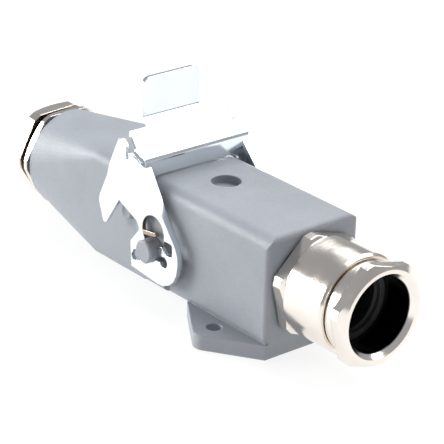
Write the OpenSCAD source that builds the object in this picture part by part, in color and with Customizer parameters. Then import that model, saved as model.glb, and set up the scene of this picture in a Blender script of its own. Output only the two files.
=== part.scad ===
// Rectangular industrial connector, mated pair: surface mounting housing with
// sheet steel locking lever, cable hood, contact inserts and two cable glands.
// Lengths in mm. X runs along the cable axis, Z points up from the mounting
// face, the origin lies on that face midway between the two foot holes.

/* [Housing] */
// outer width of the housing box
body_w = 27.4; // [27:0.1:28]
// height of the housing top above the mounting face
body_h = 30.5; // [30.2:0.1:31.2]
// length of the housing box from hood joint to gland face
body_l = 47.4; // [45.6:0.2:50]
// rounding of the long top edges of the housing box
body_r = 3.4; // [2.6:0.1:3.8]
// height of the cable axis above the mounting face
axis_z = 16.7; // [16.5:0.1:16.9]
// clear width and height of the insert chamber
chamber_w = 21; // [20.6:0.1:21.2]
// diameter of the blind recess in the top
recess_d = 7.4; // [6:0.1:8.4]

/* [Foot] */
// length of the foot along the cable axis
foot_l = 28.7; // [26:0.1:31]
// thickness of the foot
foot_t = 3.8; // [3:0.1:4.6]
// distance between the two mounting holes
ear_pitch = 34.4; // [34:0.1:38]
// diameter of the mounting holes
ear_hole_d = 3.8; // [3.2:0.1:4.4]

/* [Lever] */
// sheet thickness of the lever
sheet_t = 1; // [0.8:0.05:1.2]
// gap between the side pads and the lever arms
side_gap = 1; // [0.8:0.1:1.4]
// width of the thumb tab
tab_w = 17.6; // [14:0.1:22]
// height of the thumb tab above its bend
tab_h = 10; // [7:0.1:12]
// diameter of the bearing pegs
peg_d = 5.9; // [5.4:0.1:6.2]

/* [Hood] */
// outer width of the hood
hood_w = 26.2; // [25.6:0.1:26.6]
// length of the hood from the joint to the gland face
hood_l = 47.6; // [45:0.2:54]
// diameter of the round cable end of the hood
hood_end_d = 25.4; // [24.6:0.1:26.2]

/* [Glands] */
// width across flats of the gland hexagons
hex_af = 24; // [23.6:0.1:25]
// outer diameter of the gland entry thread
entry_d = 20; // [19:0.1:20.4]
// bore of the clamping screws
screw_bore_d = 18.4; // [17.6:0.1:18.6]
// opening of the rubber seals
seal_bore_d = 15.2; // [13:0.1:15.8]

/* [Contacts] */
// diameter of the contact pins
pin_d = 2.5; // [2:0.1:2.8]
// distance of the contacts from the axis, along Y and Z
contact_off = 4.4; // [4.2:0.05:4.6]

/* [Hidden] */
$fn = 96;
run_gap = 0.05;      // radial clearance of turning and sliding fits
face_gap = 0.4;      // open gap between the two halves
x_f = foot_l / 2;    // gland face of the housing
x_j = x_f - body_l;  // joint face of the housing
x_h = x_j - face_gap; // joint face of the hood
x_e = x_h - hood_l;  // cable end of the hood

// housing details
over_z = 2.7;        // underside of the overhanging end
wall_f = 4.4;        // front wall, length of the entry thread
low_r = 2.6;         // rounding of the lower long edges
corner_r = 1.4;      // rounding of the upright front edges
edge_r = 1.5;        // rounding of the top front edge
pad_l = 11;          // side pads carrying the pegs
pad_out = 1.3;
pad_z0 = 3.4;
pad_z1 = 23;
pad_r = 2.4;
recess_x = x_j + 15.4;
recess_deep = 2;

tip_r = 3.4;         // rounding of the ear tips
gasket_t = 1;
gasket_w = chamber_w + 2;

// lever details
lever_w = body_w + 2 * (pad_out + side_gap + sheet_t);
peg_x = x_j + 7.8;
peg_z = 14.1;
peg_tip = lever_w / 2 + 2;
arm_in = lever_w / 2 - sheet_t;
band_z = body_h + 0.6; // lower edge of the band over the housing
leg_l = 4.4;         // legs of the band beside the housing
edge_in = 1.9;       // width of the turned front edge at its top

// glands
hex_r = hex_af / 2;
ring_t = 0.7;
entry_r = entry_d / 2;
bore_r = seal_bore_d / 2;
screw_r = screw_bore_d / 2;
screw_thread_r = screw_r + 1.1;
neck_r = hex_r + 0.45;

// housing side gland, lengths counted from the gland face
g_hex0 = x_f + ring_t;
g_hex1 = g_hex0 + 3.8;
g_rim = x_f + 16.4;
g_seal0 = x_f + 5.4;
g_seal1 = x_f + 13.4;
g_wash1 = g_seal1 + 0.9;
g_nut0 = g_rim + 3.9;
g_nut1 = g_rim + 7.3;

// hood side gland, lengths counted outwards from the hood end
h_flange1 = x_e - ring_t;
h_flange0 = h_flange1 - 2.4;
h_seal1 = x_e - 0.6;
h_seal0 = h_flange0 + 0.2;
h_wash0 = h_seal0 - 0.9;
h_nut1 = h_flange0 - 1.5;
h_nut0 = h_nut1 - 4.2;

// hood
hood_z0 = 1.4;
hood_z1 = 29.8;
hood_r = 3;
hood_straight = 19.6;
x_c = x_h - hood_straight; // where the hood starts to turn round
lug_x = x_h - 3;
lug_z = 19.6;
lug_r = 1.9;
lug_tip = hood_w / 2 + 2.4;
end_drop = 0.9;      // the cable end sits lower than the inserts
end_z = axis_z - end_drop;
nut_r = hex_r - 0.5; // the hood clamping screw has a smaller hexagon

// inserts
ins_w = chamber_w - 0.6;
ins_out = 5;         // socket insert stands out of the joint face
ins_l = 19;
ins_gap = 0.5;
flange_l = 4;
pin_r = pin_d / 2;
sock_r = pin_r + 0.65;
term_r = 2.5;
fix_off = 7.9;
fix_r = 1.1;
fix_head_r = 1.7;
lug_l = 5;
x_s = x_j - ins_out;         // mating face of the socket insert
x_m = x_s - ins_gap;         // mating face of the pin insert
ins_l_hood = 18;
ins_fl = 10;                 // start of the flange behind the mating face
term_a = 9;                  // start of the terminal barrels
fix_head_l = 2.2;
earth_y = 8.4;
pin_l = 8;
flare = 9;                   // outward lean of the lever wings
wire_r = 1.3;
set_r = 1;
set_head_r = 1.6;

// piece to show

// ---------------------------------------------------------------- helpers

// rounded rectangle about its centre
module rounded_rect(w, h, r) {
    square([w - 2 * r, h], center = true);
    square([w, h - 2 * r], center = true);
    for (i = [-1, 1], j = [-1, 1])
        translate([i * (w / 2 - r), j * (h / 2 - r)])
            circle(r = r);
}

// section drawn in Y and Z, carried along X from x0 to x1
module along_x(x0, x1) {
    translate([x0, 0, 0])
        rotate([90, 0, 90])
            linear_extrude(height = x1 - x0)
                children();
}

// section drawn in X and Z, carried along Y from y0 to y1
module along_y(y0, y1) {
    translate([0, y1, 0])
        rotate([90, 0, 0])
            linear_extrude(height = y1 - y0)
                children();
}

// cylinder or cone about an axis along X
module rod_x(x0, x1, r, y = 0, z = axis_z, r1 = -1) {
    translate([x0, y, z])
        rotate([0, 90, 0])
            cylinder(h = x1 - x0, r1 = r, r2 = r1 < 0 ? r : r1);
}

module rod_y(y0, y1, x, z, r, r1 = -1) {
    translate([x, y0, z])
        rotate([-90, 0, 0])
            cylinder(h = y1 - y0, r1 = r, r2 = r1 < 0 ? r : r1);
}

module rod_z(z0, z1, x, y, r) {
    translate([x, y, z0])
        cylinder(h = z1 - z0, r = r);
}

module hex_2d(r, turn) {
    rotate(turn)
        polygon([for (i = [0:5]) r / cos(30) * [cos(60 * i), sin(60 * i)]]);
}

// hexagon with turned corners and a chamfered outer end, from x0 to x1
// side = 1 chamfers the end at x1, side = -1 the end at x0
module hex_x(x0, x1, turn, side, af_r = hex_r) {
    fall = 1.3;
    tr = af_r * 1.104;
    xa = side > 0 ? x0 : x0 + fall;
    xb = side > 0 ? x1 - fall : x1;
    intersection() {
        along_x(x0, x1)
            translate([0, axis_z])
                hex_2d(af_r, turn);
        union() {
            rod_x(xa, xb, tr);
            if (side > 0)
                rod_x(x1 - fall, x1, tr, r1 = tr - 1.9);
            else
                rod_x(x0, x0 + fall, tr - 1.9, r1 = tr);
        }
    }
}

// ---------------------------------------------------------------- housing

module housing_block() {
    // box with rounded edges, cut from three crossing sections
    intersection() {
        along_x(x_j, x_f)
            union() {
                translate([0, (over_z + body_h) / 2])
                    rounded_rect(body_w, body_h - over_z, body_r);
                translate([0, (over_z + axis_z) / 2])
                    rounded_rect(body_w, axis_z - over_z, low_r);
            }
        along_y(-body_w / 2, body_w / 2)
            union() {
                translate([x_j, 0])
                    square([body_l - edge_r, body_h]);
                translate([x_j, 0])
                    square([body_l, body_h - edge_r]);
                translate([x_f - edge_r, body_h - edge_r])
                    circle(r = edge_r);
            }
        union() {
            translate([x_j, -body_w / 2, 0])
                cube([body_l - corner_r, body_w, body_h]);
            translate([x_j, -body_w / 2 + corner_r, 0])
                cube([body_l, body_w - 2 * corner_r, body_h]);
            for (s = [-1, 1])
                rod_z(0, body_h, x_f - corner_r, s * (body_w / 2 - corner_r), corner_r);
        }
    }
}

// touching point on a tip circle at [0, cy] of the line from the box corner
function ear_touch(cy, r) =
    let (a = atan2(body_w / 2 - cy, x_f),
         b = acos(r / norm([x_f, body_w / 2 - cy])))
    [r * cos(a + b), cy + r * sin(a + b)];

// foot plate: two ears running out to rounded tips
module foot_2d() {
    cy = ear_pitch / 2 + 2.1;
    t = ear_touch(cy, tip_r);
    difference() {
        union() {
            square([foot_l, body_w], center = true);
            for (s = [-1, 1]) {
                translate([0, s * cy])
                    circle(r = tip_r);
                polygon([
                    [-x_f, s * body_w / 2], [x_f, s * body_w / 2],
                    [t[0], s * t[1]], [-t[0], s * t[1]]
                ]);
            }
        }
        for (s = [-1, 1])
            translate([0, s * ear_pitch / 2])
                circle(d = ear_hole_d);
    }
}

module housing_shell() {
    color([0.62, 0.65, 0.68])
    difference() {
        union() {
            housing_block();
            linear_extrude(height = foot_t)
                foot_2d();
            // side pads round the joint end
            along_x(x_j, x_j + pad_l)
                translate([0, (pad_z0 + pad_z1) / 2])
                    rounded_rect(body_w + 2 * pad_out, pad_z1 - pad_z0, pad_r);
            // bearing pegs
            rod_y(0.4 - peg_tip, peg_tip - 0.4, peg_x, peg_z, peg_d / 2);
            rod_y(-peg_tip, 0.4 - peg_tip, peg_x, peg_z, peg_d / 2 - 0.4, peg_d / 2);
            rod_y(peg_tip - 0.4, peg_tip, peg_x, peg_z, peg_d / 2, peg_d / 2 - 0.4);
        }
        // rebate for the gasket and chamber behind the joint face
        along_x(x_j - 1, x_j + gasket_t)
            translate([0, axis_z])
                rounded_rect(gasket_w, gasket_w, 2.5);
        difference() {
            along_x(x_j - 1, x_f - wall_f)
                translate([0, axis_z])
                    rounded_rect(chamber_w, chamber_w, 1.5);
            // lugs taking the insert screws
            for (s = [-1, 1])
                translate([x_j - ins_out + ins_l, s > 0 ? fix_off - 2.3 : -chamber_w,
                           axis_z + (s > 0 ? fix_off - 2.3 : -chamber_w)])
                    cube([lug_l, chamber_w - fix_off + 2.3, chamber_w - fix_off + 2.3]);
        }
        for (s = [-1, 1])
            rod_x(x_j, x_j - ins_out + ins_l + lug_l - 1, fix_r, s * fix_off, axis_z + s * fix_off);
        // gland entry
        rod_x(x_f - wall_f - 1, x_f + 1, entry_r);
        rod_z(body_h - recess_deep, body_h + 1, recess_x, 0, recess_d / 2);
    }
}

// ---------------------------------------------------------------- glands

// sealing ring under a gland hexagon, s = 1 housing side, s = -1 hood side
module gland_ring(x0, s) {
    difference() {
        rod_x(s > 0 ? x0 : x0 - ring_t, s > 0 ? x0 + ring_t : x0, entry_r + 1.6);
        rod_x(x0 - 2, x0 + 2, entry_r);
    }
}

module housing_gland_ring() {
    color([0.1, 0.1, 0.1])
        gland_ring(x_f, 1);
}

module housing_gland_body() {
    color([0.75, 0.72, 0.68])
    difference() {
        union() {
            rod_x(x_f - wall_f, g_hex0, entry_r);
            hex_x(g_hex0, g_hex1, 43.5, 1);
            rod_x(g_hex1 - 0.6, g_rim - 0.7, neck_r);
            rod_x(g_rim - 0.7, g_rim, neck_r, r1 = neck_r - 0.5);
        }
        rod_x(x_f - wall_f - 1, g_rim, bore_r);
        rod_x(g_seal0, g_rim + 1, screw_thread_r + run_gap);
    }
}

module housing_gland_seal() {
    color([0.12, 0.12, 0.12])
    difference() {
        rod_x(g_seal0, g_seal1, screw_thread_r + run_gap);
        rod_x(g_seal0 - 1, g_seal1 + 1, bore_r);
        rod_x(g_seal1 - 0.8, g_seal1 + 0.01, bore_r, r1 = bore_r + 0.8);
    }
}

module housing_gland_washer() {
    color([0.2, 0.2, 0.2])
    difference() {
        rod_x(g_seal1, g_wash1, screw_thread_r + run_gap);
        rod_x(g_seal1 - 1, g_wash1 + 1, bore_r + 0.4);
    }
}

module housing_gland_screw() {
    color([0.75, 0.72, 0.68])
    difference() {
        union() {
            rod_x(g_wash1 + 0.3, g_rim + 0.3, screw_thread_r);
            rod_x(g_rim + 0.3, g_nut0, screw_thread_r + 0.9);
            hex_x(g_nut0, g_nut1, 46, 1);
        }
        rod_x(g_wash1, g_nut1 + 1, screw_r);
        rod_x(g_nut1 - 1.2, g_nut1 + 0.01, screw_r, r1 = screw_r + 1.21);
    }
}

// places a gland part on the lowered axis of the cable end
module at_end() {
    translate([0, 0, -end_drop])
        children();
}

module hood_gland_ring() {
    color([0.1, 0.1, 0.1])
    at_end()
        gland_ring(x_e, -1);
}

module hood_gland_body() {
    color([0.75, 0.72, 0.68])
    at_end()
    difference() {
        union() {
            rod_x(h_flange1, x_e + wall_f, entry_r);
            hex_x(h_flange0, h_flange1, 0, -1);
        }
        rod_x(h_flange0 - 1, x_e + wall_f + 1, bore_r - 1.6);
        rod_x(h_flange0 - 1, x_e + 3, screw_thread_r - 1.2 + run_gap);
    }
}

module hood_gland_seal() {
    color([0.12, 0.12, 0.12])
    at_end()
    difference() {
        rod_x(x_e - 1.4, x_e + 3, screw_thread_r - 1.2 + run_gap);
        rod_x(x_e - 2, x_e + 4, bore_r - 1.6);
    }
}

module hood_gland_washer() {
    color([0.2, 0.2, 0.2])
    at_end()
    difference() {
        rod_x(x_e - 2.2, x_e - 1.4, screw_thread_r - 1.2 + run_gap);
        rod_x(x_e - 3, x_e - 1, bore_r - 1.2);
    }
}

module hood_gland_screw() {
    color([0.75, 0.72, 0.68])
    at_end()
    difference() {
        union() {
            rod_x(h_nut1, x_e - 2.5, screw_thread_r - 1.2);
            hex_x(h_nut0, h_nut1, 3, -1, nut_r);
        }
        rod_x(h_nut0 - 1, x_e, screw_r - 1.6);
        rod_x(h_nut0 - 0.01, h_nut0 + 1.2, screw_r - 0.39, r1 = screw_r - 1.6);
    }
}

// ------------------------------------------------------------------- hood

module hood_shell() {
    zc = (hood_z0 + hood_z1) / 2;
    x_in = x_m - ins_l_hood - 1;
    color([0.62, 0.65, 0.68])
    difference() {
        union() {
            along_x(x_c, x_h)
                translate([0, zc])
                    rounded_rect(hood_w, hood_z1 - hood_z0, hood_r);
            // square section turning round towards the cable end
            hull() {
                along_x(x_c, x_c + 0.01)
                    translate([0, zc])
                        rounded_rect(hood_w, hood_z1 - hood_z0, hood_r, $fn = 32);
                rod_x(x_e + 0.8, x_e + 0.81, hood_end_d / 2, z = end_z, $fn = 64);
            }
            rod_x(x_e, x_e + 0.9, hood_end_d / 2, z = end_z);
            // catches held by the lever wings
            rod_y(0.4 - lug_tip, lug_tip - 0.4, lug_x, lug_z, lug_r);
            rod_y(-lug_tip, 0.4 - lug_tip, lug_x, lug_z, lug_r - 0.4, lug_r);
            rod_y(lug_tip - 0.4, lug_tip, lug_x, lug_z, lug_r, lug_r - 0.4);
        }
        difference() {
            union() {
                along_x(x_in, x_h + 1)
                    translate([0, axis_z])
                        rounded_rect(chamber_w, chamber_w, 1.5);
                hull() {
                    along_x(x_in, x_in + 0.01)
                        translate([0, axis_z])
                            rounded_rect(chamber_w, chamber_w, 1.5, $fn = 32);
                    rod_x(x_e + wall_f, x_e + wall_f + 0.01, entry_r, z = end_z, $fn = 64);
                }
            }
            for (s = [-1, 1])
                translate([x_m - ins_l_hood - lug_l, s > 0 ? fix_off - 2.3 : -chamber_w,
                           axis_z + (s > 0 ? fix_off - 2.3 : -chamber_w)])
                    cube([lug_l, chamber_w - fix_off + 2.3, chamber_w - fix_off + 2.3]);
        }
        for (s = [-1, 1])
            rod_x(x_m - ins_l_hood - lug_l + 1, x_h, fix_r, s * fix_off, axis_z + s * fix_off);
        rod_x(x_e - 1, x_e + wall_f + 1, entry_r, z = end_z);
    }
}

// ---------------------------------------------------------------- inserts
// An insert starts at its mating face x0 and runs along d, +1 or -1.

function lo(x0, d, a, b) = d > 0 ? x0 + a : x0 - b;
function hi(x0, d, a, b) = d > 0 ? x0 + b : x0 - a;

module rod_d(x0, d, a, b, r, y, z) {
    rod_x(lo(x0, d, a, b), hi(x0, d, a, b), r, y, z);
}

// corners of the contact square
contact_spots = [for (i = [-1, 1], j = [-1, 1]) [i * contact_off, j * contact_off]];

module insert_block(x0, d, l, front_r) {
    difference() {
        union() {
            along_x(lo(x0, d, 0, l), hi(x0, d, 0, l))
                translate([0, axis_z])
                    rounded_rect(ins_w, ins_w, 1.2);
            along_x(lo(x0, d, ins_fl, ins_fl + flange_l), hi(x0, d, ins_fl, ins_fl + flange_l))
                translate([0, axis_z])
                    rounded_rect(chamber_w, chamber_w, 2.2);
        }
        for (p = contact_spots) {
            rod_d(x0, d, -1, term_a, front_r, p[0], axis_z + p[1]);
            rod_d(x0, d, term_a, l + 1, term_r, p[0], axis_z + p[1]);
            // way to the terminal screw
            rod_z(axis_z + (p[1] > 0 ? p[1] : -ins_w), axis_z + (p[1] > 0 ? ins_w : p[1]),
                  x0 + d * (l - 3.5), p[0], set_head_r + 0.1);
        }
        for (s = [-1, 1]) {
            rod_d(x0, d, -1, l + 1, fix_r, s * fix_off, axis_z + s * fix_off);
            rod_d(x0, d, -1, fix_head_l, fix_head_r, s * fix_off, axis_z + s * fix_off);
        }
        // hole of the earth screw
        rod_d(x0, d, l - 5, l + 1, set_r, -earth_y, axis_z + contact_off);
    }
}

// terminal barrel with wire hole and screw hole, rear end l - 0.5
module terminal(x0, d, l, p) {
    difference() {
        rod_d(x0, d, term_a, l - 0.5, term_r, p[0], axis_z + p[1]);
        rod_d(x0, d, l - 7, l, wire_r, p[0], axis_z + p[1]);
        rod_z(axis_z + min(p[1], p[1] * 3), axis_z + max(p[1], p[1] * 3),
              x0 + d * (l - 3.5), p[0], set_r);
    }
}

module terminal_screws(x0, d, l) {
    color([0.72, 0.72, 0.72])
    for (p = contact_spots) {
        up = p[1] > 0 ? 1 : -1;
        z0 = axis_z + p[1];
        zh = z0 + up * term_r;
        difference() {
            union() {
                rod_z(min(z0 + up * 1.3, zh), max(z0 + up * 1.3, zh), x0 + d * (l - 3.5), p[0], set_r);
                rod_z(min(zh, zh + up * 2), max(zh, zh + up * 2), x0 + d * (l - 3.5), p[0], set_head_r);
            }
            translate([x0 + d * (l - 3.5) - 2, p[0] - 0.25, up > 0 ? zh + 1.3 : zh - 3])
                cube([4, 0.5, 1.7]);
        }
    }
}

module fixing_screws(x0, d, l) {
    color([0.72, 0.72, 0.72])
    for (s = [-1, 1])
        difference() {
            union() {
                rod_d(x0, d, 0.2, fix_head_l, fix_head_r, s * fix_off, axis_z + s * fix_off);
                rod_d(x0, d, 1, l + lug_l - 1.2, fix_r, s * fix_off, axis_z + s * fix_off);
            }
            translate([lo(x0, d, -1, 0.9), s * fix_off - 0.25, axis_z + s * fix_off - 2])
                cube([1.9, 0.5, 4]);
        }
}

module earth_strip(x0, d, l) {
    color([0.76, 0.68, 0.42])
    difference() {
        translate([lo(x0, d, l, l + 0.8), -chamber_w / 2, axis_z + contact_off - 2.6])
            cube([0.8, chamber_w / 2 - contact_off + 2.6, 5.2]);
        rod_d(x0, d, l - 1, l + 2, wire_r, -contact_off, axis_z + contact_off);
        rod_d(x0, d, l - 1, l + 2, set_r, -earth_y, axis_z + contact_off);
    }
}

module earth_screw(x0, d, l) {
    color([0.72, 0.72, 0.72])
    difference() {
        union() {
            rod_d(x0, d, l - 4.6, l + 0.8, set_r, -earth_y, axis_z + contact_off);
            rod_d(x0, d, l + 0.8, l + 2.2, set_head_r, -earth_y, axis_z + contact_off);
        }
        translate([lo(x0, d, l + 1.5, l + 3), -earth_y - 0.25, axis_z + contact_off - 2])
            cube([1.5, 0.5, 4]);
    }
}

module socket_insert() {
    color([0.12, 0.12, 0.13])
        insert_block(x_s, 1, ins_l, sock_r);
}

module socket_contacts() {
    color([0.8, 0.7, 0.45])
    for (p = contact_spots)
        difference() {
            union() {
                rod_d(x_s, 1, 0.5, term_a, sock_r, p[0], axis_z + p[1]);
                terminal(x_s, 1, ins_l, p);
            }
            rod_d(x_s, 1, 0, term_a, pin_r + run_gap, p[0], axis_z + p[1]);
        }
}

module socket_terminal_screws() {
    terminal_screws(x_s, 1, ins_l);
}

module socket_fixing_screws() {
    fixing_screws(x_s, 1, ins_l);
}

module socket_earth_strip() {
    earth_strip(x_s, 1, ins_l);
}

module socket_earth_screw() {
    earth_screw(x_s, 1, ins_l);
}

module pin_insert() {
    color([0.12, 0.12, 0.13])
        insert_block(x_m, -1, ins_l_hood, pin_r);
}

module pin_contacts() {
    color([0.8, 0.7, 0.45])
    for (p = contact_spots) {
        rod_d(x_m, -1, 0.8 - pin_l, term_a + 1, pin_r, p[0], axis_z + p[1]);
        rod_x(x_m + pin_l - 0.8, x_m + pin_l, pin_r, p[0], axis_z + p[1], pin_r - 0.6);
        terminal(x_m, -1, ins_l_hood, p);
    }
}

module pin_terminal_screws() {
    terminal_screws(x_m, -1, ins_l_hood);
}

module pin_fixing_screws() {
    fixing_screws(x_m, -1, ins_l_hood);
}

module pin_earth_strip() {
    earth_strip(x_m, -1, ins_l_hood);
}

module pin_earth_screw() {
    earth_screw(x_m, -1, ins_l_hood);
}

module joint_gasket() {
    color([0.1, 0.1, 0.1])
    along_x(x_j, x_j + gasket_t)
        translate([0, axis_z])
            difference() {
                rounded_rect(gasket_w, gasket_w, 2.5);
                rounded_rect(chamber_w, chamber_w, 1.5);
            }
}

// ------------------------------------------------------------------ lever
// Bent from one sheet: band over the housing, ramp, thumb tab and two arms.

function unit(v) = v / norm(v);
function left_of(v) = [-v[1], v[0]];

// line of points moved sideways by d, to the left of its run
function moved(p, d) = [
    for (i = [0:len(p) - 1])
        let (a = left_of(unit(p[max(i, 1)] - p[max(i, 1) - 1])),
             b = left_of(unit(p[min(i + 1, len(p) - 1)] - p[min(i, len(p) - 2)])),
             m = unit(a + b))
        p[i] + d / (m * a) * m
];

// arc of the fillet of radius r at corner b between a and c
function fillet(a, b, c, r, n) =
    let (u = unit(a - b), v = unit(c - b), h = acos(u * v) / 2,
         m = b + r / sin(h) * unit(u + v),
         s = b + u * r / tan(h) - m, e = b + v * r / tan(h) - m,
         turn = sign(s[0] * e[1] - s[1] * e[0]) * (180 - 2 * h), a0 = atan2(s[1], s[0]))
    [for (k = [0:n]) m + r * [cos(a0 + turn * k / n), sin(a0 + turn * k / n)]];

// closed outline whose corners are [x, z, radius]
function soft_outline(q, n = 5) = [
    for (i = [0:len(q) - 1])
        let (a = q[(i + len(q) - 1) % len(q)], b = q[i], c = q[(i + 1) % len(q)])
        each b[2] > 0 ? fillet([a[0], a[1]], [b[0], b[1]], [c[0], c[1]], b[2], n) : [[b[0], b[1]]]
];

function turn_at(p, i) =
    let (a = p[i] - p[i - 1], b = p[i + 1] - p[i])
    sign(a[0] * b[1] - a[1] * b[0]);

// one side of a bent sheet: line p moved by d, middle bend radii in r
function sheet_side(p, d, r, n) =
    let (q = moved(p, d))
    [for (i = [0:len(q) - 1])
        each i == 0 || i == len(q) - 1 ? [q[i]]
            : fillet(q[i - 1], q[i], q[i + 1], r[i] - turn_at(p, i) * d, n)];

function backwards(p) = [for (i = [len(p) - 1:-1:0]) p[i]];

// bent sheet seen from its edge, p is its middle line
module sheet_2d(p, r, n = 5) {
    polygon(concat(sheet_side(p, sheet_t / 2, r, n), backwards(sheet_side(p, -sheet_t / 2, r, n))));
}

// middle line of the centre strip, from the legs up to the tab
strip_line = moved([
    [x_j + 3.6, band_z - leg_l],
    [x_j + 4.75, body_h + 5.7],
    [x_j - 0.75, body_h + 7.2],
    [x_j - 2.95, body_h + 10],
    [x_j - 6.1, body_h + 11.3],
    [x_j - 6.3, body_h + 11.3 + tab_h]
], sheet_t / 2);

// front edge of the arms, top to bottom, as [x, z, radius]
arm_front = [
    [x_j + 3.55, body_h + 4.5, 1],
    [peg_x + 10.8, peg_z + 2.96, 7],
    [peg_x + 10.8, peg_z - 8.35, 7],
    [peg_x - 6.9, peg_z - 6.7, 1.2]
];

// fold between the arm and its flared wing
crease = [[x_j - 9.35, body_h - 3], [x_j - 4.35, body_h - 7.6]];

arm_outline = [
    [x_j - 0.9, body_h + 6, 0.3],
    arm_front[0],
    arm_front[1],
    arm_front[2],
    arm_front[3],
    [peg_x - 7.4, peg_z - 0.2, 0.6],
    [peg_x - 3.9, peg_z + 4, 1],
    [peg_x - 5, peg_z + 5.8, 0.8],
    [crease[1][0], crease[1][1], 0.35],
    [crease[0][0], crease[0][1], 0],
    [x_j - 8.2, body_h + 1, 8],
    [x_j - 6.4, body_h + 5, 3],
    [x_j - 4.2, body_h + 9.4, 1.4],
    [x_j - 1.9, body_h + 7, 0.4],
    [x_j - 1.8, body_h + 3.9, 0.2],
    [x_j - 0.9, body_h + 3.9, 0.2]
];

wing_outline = [
    [crease[0][0], crease[0][1], 0],
    [crease[1][0], crease[1][1], 0],
    [x_j - 7, peg_z + 3.8, 2],
    [x_j - 8.4, peg_z + 0.9, 0.7],
    [x_j - 11.4, peg_z + 7.2, 3.5]
];

// openings round the peg: bearing, window, relief cuts
module peg_window_2d() {
    difference() {
        union() {
            circle(r = peg_d / 2 + run_gap);
            translate([1.35, 5.2])
                circle(r = 4.1);
            translate([0, -1.6])
                square([4.9, 6]);
            translate([5.6, -1.2])
                circle(r = 1.4);
            translate([7, 2.7])
                rounded_rect(3.4, 3.4, 0.8);
            translate([4, 1.6])
                square([2, 2.6]);
            polygon([[-2.2, -1.4], [-6, -1.9], [-6.9, -3.6], [-6.2, -4.9], [-3.2, -4.2], [-1.6, -2.2]]);
        }
        // spring finger over the peg
        translate([-4.9, 3.5])
            rotate(9)
                translate([-1, -0.5])
                    rounded_rect_at(8.4, 1.05, 0.5);
        // springy tongue beside the peg
        translate([4.45, 1.3])
            circle(r = 1.15);
        translate([4.45, 1.3])
            rotate(-20)
                translate([0, -0.5])
                    square([5, 1]);
    }
}

module rounded_rect_at(w, h, r) {
    translate([w / 2, h / 2])
        rounded_rect(w, h, r);
}

// place of a point of the wing in the plane of the wing
function on_wing(p) =
    let (u = unit(crease[1] - crease[0]), v = [p[0], p[1]] - crease[0])
    [v * u, v * left_of(u), p[2]];

module lever_arm() {
    // flat arm on the -Y side
    along_y(-lever_w / 2, -arm_in)
        difference() {
            polygon(soft_outline(arm_outline));
            translate([peg_x, peg_z])
                peg_window_2d();
        }
    // stiffening edge turned inwards along the front, narrower downwards
    intersection() {
        along_y(-lever_w / 2, -arm_in + edge_in)
            sheet_2d(moved([for (q = arm_front) [q[0], q[1]]], -sheet_t / 2),
                     [for (q = arm_front) q[2] - sheet_t / 2]);
        along_x(x_j, x_f)
            polygon([
                [-lever_w / 2, peg_z - 9], [-arm_in + 0.2, peg_z - 9],
                [-arm_in + 0.7, pad_z1 + 0.5], [-arm_in + edge_in, body_h + 4],
                [-arm_in + edge_in, body_h + 6], [-lever_w / 2, body_h + 6]
            ]);
    }
    // wing flared outwards below the fold
    u = unit(crease[1] - crease[0]);
    translate([crease[0][0], -lever_w / 2, crease[0][1]])
        rotate([0, -atan2(u[1], u[0]), 0])
            rotate([-flare, 0, 0])
                along_y(0, sheet_t)
                    union() {
                        polygon(soft_outline([for (p = wing_outline) on_wing(p)]));
                        // bent strip, buried in the arm
                        square([norm(crease[1] - crease[0]) - 0.5, 0.4]);
                    }
}

module tab_cut() {
    // rounded upper corners of the tab
    along_x(x_j - 20, x_j + 20)
        translate([0, body_h + 11.3])
            rounded_rect(tab_w, 2 * tab_h, 2.6);
}

module lever() {
    color([0.83, 0.86, 0.9])
    union() {
        // band across the housing with its two legs
        difference() {
            along_y(-arm_in, arm_in)
                sheet_2d([strip_line[0], strip_line[1], strip_line[2] + [1.2, -0.33]], [0, 1.1, 0]);
            // cut-out over the housing
            along_x(x_j - 2, x_j + 8)
                translate([0, band_z - 10])
                    rounded_rect(body_w + 1.2, 20, 3.8);
        }
        // ramp up to the tab, narrower than the band
        intersection() {
            along_y(-lever_w / 2 + 2, lever_w / 2 - 2)
                sheet_2d([strip_line[1] - [1.5, -0.4], strip_line[2], strip_line[3], strip_line[4], strip_line[5]],
                         [0, 2.2, 1.3, 1.3, 0]);
            union() {
                translate([x_j - 3.3, -lever_w / 2, body_h])
                    cube([lever_w, lever_w, tab_h * 2]);
                tab_cut();
            }
        }
        lever_arm();
        mirror([0, 1, 0])
            lever_arm();
    }
}

// ----------------------------------------------------------------- output

housing_shell();
housing_gland_ring();
housing_gland_body();
housing_gland_seal();
housing_gland_washer();
housing_gland_screw();
joint_gasket();
socket_insert();
socket_contacts();
socket_terminal_screws();
socket_fixing_screws();
socket_earth_strip();
socket_earth_screw();
lever();
hood_shell();
hood_gland_ring();
hood_gland_body();
hood_gland_seal();
hood_gland_washer();
hood_gland_screw();
pin_insert();
pin_contacts();
pin_terminal_screws();
pin_fixing_screws();
pin_earth_strip();
pin_earth_screw();
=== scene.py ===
"""Studio scene of a rectangular industrial connector with locking lever and cable glands."""
import math

import bpy
from mathutils import Matrix, Vector


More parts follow.
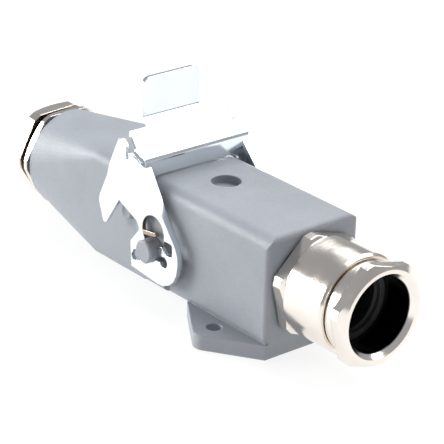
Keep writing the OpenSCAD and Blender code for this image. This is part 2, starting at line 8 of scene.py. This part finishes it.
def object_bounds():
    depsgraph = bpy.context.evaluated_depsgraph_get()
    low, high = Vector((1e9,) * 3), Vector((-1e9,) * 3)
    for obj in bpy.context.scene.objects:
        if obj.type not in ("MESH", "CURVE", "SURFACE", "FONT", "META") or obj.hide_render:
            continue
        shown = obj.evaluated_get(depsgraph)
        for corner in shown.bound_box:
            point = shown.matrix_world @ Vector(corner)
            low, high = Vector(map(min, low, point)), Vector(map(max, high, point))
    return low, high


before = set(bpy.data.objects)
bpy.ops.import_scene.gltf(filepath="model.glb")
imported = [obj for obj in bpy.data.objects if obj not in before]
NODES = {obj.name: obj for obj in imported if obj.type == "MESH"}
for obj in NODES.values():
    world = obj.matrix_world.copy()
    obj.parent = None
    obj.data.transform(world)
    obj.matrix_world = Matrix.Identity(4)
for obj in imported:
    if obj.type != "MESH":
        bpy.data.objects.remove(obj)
CAD_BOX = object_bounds()


# ------------------------------------------------------------ materials

def new_material(name):
    mat = bpy.data.materials.new(name)
    mat.use_nodes = True
    tree = mat.node_tree
    return mat, tree, tree.nodes["Principled BSDF"]


def value(tree, kind, operation, first, second=None):
    """A math node; numbers and sockets may both be given."""
    node = tree.nodes.new(kind)
    node.operation = operation
    for place, item in enumerate((first, second)):
        if item is None:
            continue
        if hasattr(item, "default_value"):
            tree.links.new(item, node.inputs[place])
        else:
            node.inputs[place].default_value = item
    return node.outputs["Value"] if "Value" in node.outputs else node.outputs["Vector"]


def maths(tree, operation, first, second=None):
    return value(tree, "ShaderNodeMath", operation, first, second)


def ramp(tree, source, stops, smooth=False):
    node = tree.nodes.new("ShaderNodeValToRGB")
    tree.links.new(source, node.inputs["Fac"])
    items = node.color_ramp.elements
    node.color_ramp.interpolation = "EASE" if smooth else "LINEAR"
    while len(items) < len(stops):
        items.new(0.5)
    for item, (place, colour) in zip(items, stops):
        item.position = place
        item.color = (*colour, 1.0)
    return node.outputs["Color"]


def mix(tree, mask, low, high, how="MIX"):
    """Two colours by a mask."""
    node = tree.nodes.new("ShaderNodeMix")
    node.data_type = "RGBA"
    node.blend_type = how
    for socket, item in ((node.inputs[0], mask), (node.inputs[6], low), (node.inputs[7], high)):
        if hasattr(item, "default_value"):
            tree.links.new(item, socket)
        elif isinstance(item, tuple):
            socket.default_value = (*item, 1.0)
        else:
            socket.default_value = item
    return node.outputs[2]


def coords(tree, stretch=(1, 1, 1)):
    place = tree.nodes.new("ShaderNodeTexCoord")
    mapping = tree.nodes.new("ShaderNodeMapping")
    mapping.inputs["Scale"].default_value = stretch
    tree.links.new(place.outputs["Object"], mapping.inputs["Vector"])
    return mapping.outputs["Vector"]


def noise(tree, scale, detail=3.0, rough=0.5, stretch=(1, 1, 1)):
    node = tree.nodes.new("ShaderNodeTexNoise")
    node.inputs["Scale"].default_value = scale
    node.inputs["Detail"].default_value = detail
    node.inputs["Roughness"].default_value = rough
    tree.links.new(coords(tree, stretch), node.inputs["Vector"])
    return node.outputs["Fac"]


def axes(tree):
    """X, Y and Z of the point in the part's frame."""
    node = tree.nodes.new("ShaderNodeSeparateXYZ")
    tree.links.new(coords(tree), node.inputs["Vector"])
    return node.outputs


def reach(tree, first, a, second, b):
    """Distance from the line through a and b in the plane of two axes."""
    u = maths(tree, "SUBTRACT", first, a)
    v = maths(tree, "SUBTRACT", second, b)
    return maths(tree, "SQRT", maths(tree, "ADD", maths(tree, "MULTIPLY", u, u), maths(tree, "MULTIPLY", v, v)))


def surface(tree, shader, edge, *bumps):
    """Softened edges and stacked fine bumps, each as (height, strength, distance)."""
    soft = tree.nodes.new("ShaderNodeBevel")
    soft.samples = 6
    soft.inputs["Radius"].default_value = edge
    normal = soft.outputs["Normal"]
    for height, strength, distance in bumps:
        node = tree.nodes.new("ShaderNodeBump")
        node.inputs["Strength"].default_value = strength
        node.inputs["Distance"].default_value = distance
        tree.links.new(height, node.inputs["Height"])
        tree.links.new(normal, node.inputs["Normal"])
        normal = node.outputs["Normal"]
    tree.links.new(normal, shader.inputs["Normal"])


def edges(tree, size):
    """1 on sharp edges, 0 on flat faces."""
    soft = tree.nodes.new("ShaderNodeBevel")
    soft.samples = 4
    soft.inputs["Radius"].default_value = size
    flat = tree.nodes.new("ShaderNodeNewGeometry")
    node = tree.nodes.new("ShaderNodeVectorMath")
    node.operation = "DOT_PRODUCT"
    tree.links.new(soft.outputs["Normal"], node.inputs[0])
    tree.links.new(flat.outputs["Normal"], node.inputs[1])
    return maths(tree, "SUBTRACT", 1.0, node.outputs["Value"])


def grey(v):
    return (v, v, v)


def paint():
    mat, tree, shader = new_material("powder_coat")
    tone = ramp(tree, noise(tree, 70, 4), [(0.3, PAINT_LOW), (0.7, PAINT_HIGH)])
    grain = ramp(tree, noise(tree, 2600, 3, 0.7), [(0.35, grey(0.90)), (0.65, grey(1.0))])
    tone = mix(tree, 1.0, tone, grain, "MULTIPLY")
    # Sharp edges are painted lighter: partly edge wear, partly a painted highlight standing in for the light
    # caught on rounded edges.
    wear_and_painted_highlight = ramp(tree, edges(tree, 0.0006), [(0.04, grey(0.0)), (0.3, grey(0.28))])
    tone = mix(tree, wear_and_painted_highlight, tone, (0.62, 0.65, 0.70))
    tree.links.new(tone, shader.inputs["Base Color"])
    gloss = ramp(tree, noise(tree, 1300, 3), [(0.3, grey(0.40)), (0.7, grey(0.56))])
    tree.links.new(gloss, shader.inputs["Roughness"])
    surface(tree, shader, 0.0004, (noise(tree, 2200, 3, 0.65), 0.35, 0.00010), (noise(tree, 500, 2), 0.3, 0.00018))
    return mat


def zinc():
    mat, tree, shader = new_material("bright_zinc")
    shader.inputs["Metallic"].default_value = 1.0
    tone = ramp(tree, noise(tree, 60, 3), [(0.3, (0.80, 0.85, 0.90)), (0.7, (0.90, 0.93, 0.95))])
    x, y, z = axes(tree)
    window = reach(tree, x, -0.0239, z, 0.0193)
    rim = ramp(tree, maths(tree, "MULTIPLY", window, 100.0), [(0.415, grey(1.0)), (0.43, grey(0.0))])
    tone = mix(tree, rim, tone, (0.42, 0.33, 0.26))
    tree.links.new(tone, shader.inputs["Base Color"])
    gloss = ramp(tree, noise(tree, 160, 4), [(0.35, grey(0.12)), (0.7, grey(0.24))])
    tree.links.new(gloss, shader.inputs["Roughness"])
    surface(tree, shader, 0.00025, (noise(tree, 220, 2), 0.10, 0.0002), (noise(tree, 900, 3, 0.6, (1, 1, 0.12)), 0.08, 0.00008))
    return mat


def nickel():
    mat, tree, shader = new_material("turned_nickel")
    shader.inputs["Metallic"].default_value = 1.0
    tone = ramp(tree, noise(tree, 50, 2), [(0.3, (0.82, 0.75, 0.68)), (0.7, (0.90, 0.85, 0.79))])
    x, y, z = axes(tree)
    # Painted shade: everything within about 9.3 mm of the gland axis is painted near black, standing in for the
    # shadow deep in the bore.
    bore_painted_shade = ramp(tree, maths(tree, "MULTIPLY", reach(tree, y, 0.0, z, 0.0167), 50.0), [(0.464, grey(1.0)), (0.470, grey(0.0))])
    tone = mix(tree, bore_painted_shade, tone, (0.05, 0.048, 0.045))
    tree.links.new(tone, shader.inputs["Base Color"])
    gloss = ramp(tree, noise(tree, 260, 3), [(0.3, grey(0.10)), (0.7, grey(0.20))])
    tree.links.new(gloss, shader.inputs["Roughness"])
    surface(tree, shader, 0.0003, (noise(tree, 900, 2, 0.5, (5, 0.4, 0.4)), 0.12, 0.00008), (noise(tree, 120, 2), 0.08, 0.0002))
    return mat


def plain(name, low, high, rough, metallic=0.0, scale=300):
    mat, tree, shader = new_material(name)
    shader.inputs["Metallic"].default_value = metallic
    tone = ramp(tree, noise(tree, scale, 3), [(0.3, low), (0.7, high)])
    tree.links.new(tone, shader.inputs["Base Color"])
    gloss = ramp(tree, noise(tree, scale * 2, 3), [(0.3, grey(rough - 0.06)), (0.7, grey(rough + 0.06))])
    tree.links.new(gloss, shader.inputs["Roughness"])
    surface(tree, shader, 0.0002, (noise(tree, scale * 3, 2), 0.2, 0.0001))
    return mat


PAINT_LOW = (0.275, 0.295, 0.325)
PAINT_HIGH = (0.31, 0.33, 0.36)
PAINT = paint()
ZINC = zinc()
NICKEL = nickel()
RUBBER = plain("black_rubber", grey(0.015), grey(0.03), 0.5)
WASHER = plain("dark_washer", grey(0.05), grey(0.08), 0.35)
INSERT = plain("moulded_insert", grey(0.018), grey(0.03), 0.42)
CONTACT = plain("contact_metal", (0.62, 0.50, 0.26), (0.70, 0.58, 0.33), 0.3, 1.0)
SCREW = plain("plated_screw", grey(0.55), grey(0.66), 0.3, 1.0)

LOOKS = {
    "housing_shell": PAINT, "hood_shell": PAINT, "lever": ZINC,
    "housing_gland_body": NICKEL, "housing_gland_screw": NICKEL,
    "hood_gland_body": NICKEL, "hood_gland_screw": NICKEL,
    "housing_gland_ring": RUBBER, "housing_gland_seal": RUBBER, "joint_gasket": RUBBER,
    "hood_gland_ring": RUBBER, "hood_gland_seal": RUBBER,
    "housing_gland_washer": WASHER, "hood_gland_washer": WASHER,
    "socket_insert": INSERT, "pin_insert": INSERT,
    "socket_contacts": CONTACT, "pin_contacts": CONTACT,
    "socket_earth_strip": CONTACT, "pin_earth_strip": CONTACT,
}
for name, obj in NODES.items():
    look = LOOKS.get(name, SCREW)
    for slot in obj.material_slots:
        slot.material = look


# --------------------------------------------------------------- stage

bpy.ops.mesh.primitive_plane_add(size=6.0, location=(0, 0, CAD_BOX[0][2] - 0.0002))
floor = bpy.context.object
floor.name = "floor"
floor_mat, floor_tree, floor_shader = new_material("floor_look")
floor_shader.inputs["Base Color"].default_value = (0.20, 0.20, 0.20, 1)
floor_shader.inputs["Roughness"].default_value = 0.7
floor_shader.inputs["Emission Color"].default_value = (1, 1, 1, 1)
floor_shader.inputs["Emission Strength"].default_value = 0.82
floor.data.materials.append(floor_mat)

world = bpy.data.worlds.new("studio")
bpy.context.scene.world = world
world.use_nodes = True
sky = world.node_tree
paths = sky.nodes.new("ShaderNodeLightPath")
room = sky.nodes["Background"]
seen = mix(sky, paths.outputs["Is Camera Ray"], (0.37, 0.38, 0.40), (1.0, 1.0, 1.0))
sky.links.new(seen, room.inputs["Color"])
room.inputs["Strength"].default_value = 1.0


def softbox(name, place, size, power, tone=(1, 1, 1), target=(0, 0, 0.015)):
    data = bpy.data.lights.new(name, "AREA")
    data.shape = "RECTANGLE"
    data.size, data.size_y = size
    data.energy = power
    data.color = tone
    lamp = bpy.data.objects.new(name, data)
    lamp.location = place
    lamp.rotation_euler = (Vector(target) - Vector(place)).to_track_quat("-Z", "Y").to_euler()
    lamp.visible_camera = False
    bpy.context.collection.objects.link(lamp)
    return lamp


softbox("left", (-0.75, -0.58, 0.24), (0.8, 0.36), 11)
softbox("top", (-0.05, 0.5, 0.85), (1.4, 1.0), 15)

# -------------------------------------------------------------- camera

cam_data = bpy.data.cameras.new("camera")
cam_data.sensor_width = 36.0
cam_data.lens = 178.86
cam_data.clip_start = 0.01
cam_data.clip_end = 20
cam_data.shift_x = 0.0007
camera = bpy.data.objects.new("camera", cam_data)
side = Vector((0.6363, 0.7708, 0.0308))
up = Vector((-0.3317, 0.2373, 0.9131))
back = Vector((0.6965, -0.5912, 0.4067))
camera.matrix_world = Matrix((
    (side.x, up.x, back.x, 0.3515),
    (side.y, up.y, back.y, -0.3143),
    (side.z, up.z, back.z, 0.2356),
    (0, 0, 0, 1),
))
bpy.context.collection.objects.link(camera)
bpy.context.scene.camera = camera
bpy.context.scene.view_settings.view_transform = "Standard"
